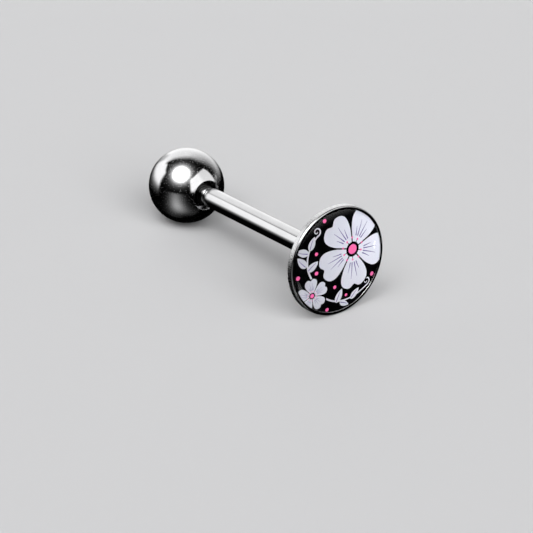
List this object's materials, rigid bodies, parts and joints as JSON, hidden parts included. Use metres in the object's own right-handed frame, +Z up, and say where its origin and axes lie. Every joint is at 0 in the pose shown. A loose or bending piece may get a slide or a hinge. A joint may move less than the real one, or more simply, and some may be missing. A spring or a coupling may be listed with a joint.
{
  "type": "tongue barbell",
  "caption": "Straight barbell for a tongue piercing: a steel post with a screw-on ball at one end and a welded cup with a print under a clear resin dome at the other.",
  "frame": {"origin": "bottom centre of the box of the barbell as it lies on a flat floor, on its ball and the cup's back edge", "axes": "+X from the ball's end to the cup's end, +Z up; the post's axis lies in the XZ plane and rises 3.7 degrees towards +X"},
  "size_m": [0.023, 0.0084, 0.0085],
  "materials": {
    "polished_steel": "polished, with fine turning marks along the post and a satin side wall on the cup",
    "mirror_steel": "mirror polish with fine scuffs",
    "print": "printed in black, pale lavender, pink and violet",
    "clear_resin": "clear, glossy"
  },
  "bodies": {
    "root": {"post_and_cup": "polished_steel", "print_disc": "print", "dome": "clear_resin"},
    "ball": {"ball": "mirror_steel"}
  },
  "joints": [
    {"name": "ball_off", "type": "slide", "parent": "root", "child": "ball", "axis": [-0.9979, 0, -0.0652], "range_m": [0, 0.012]}
  ]
}
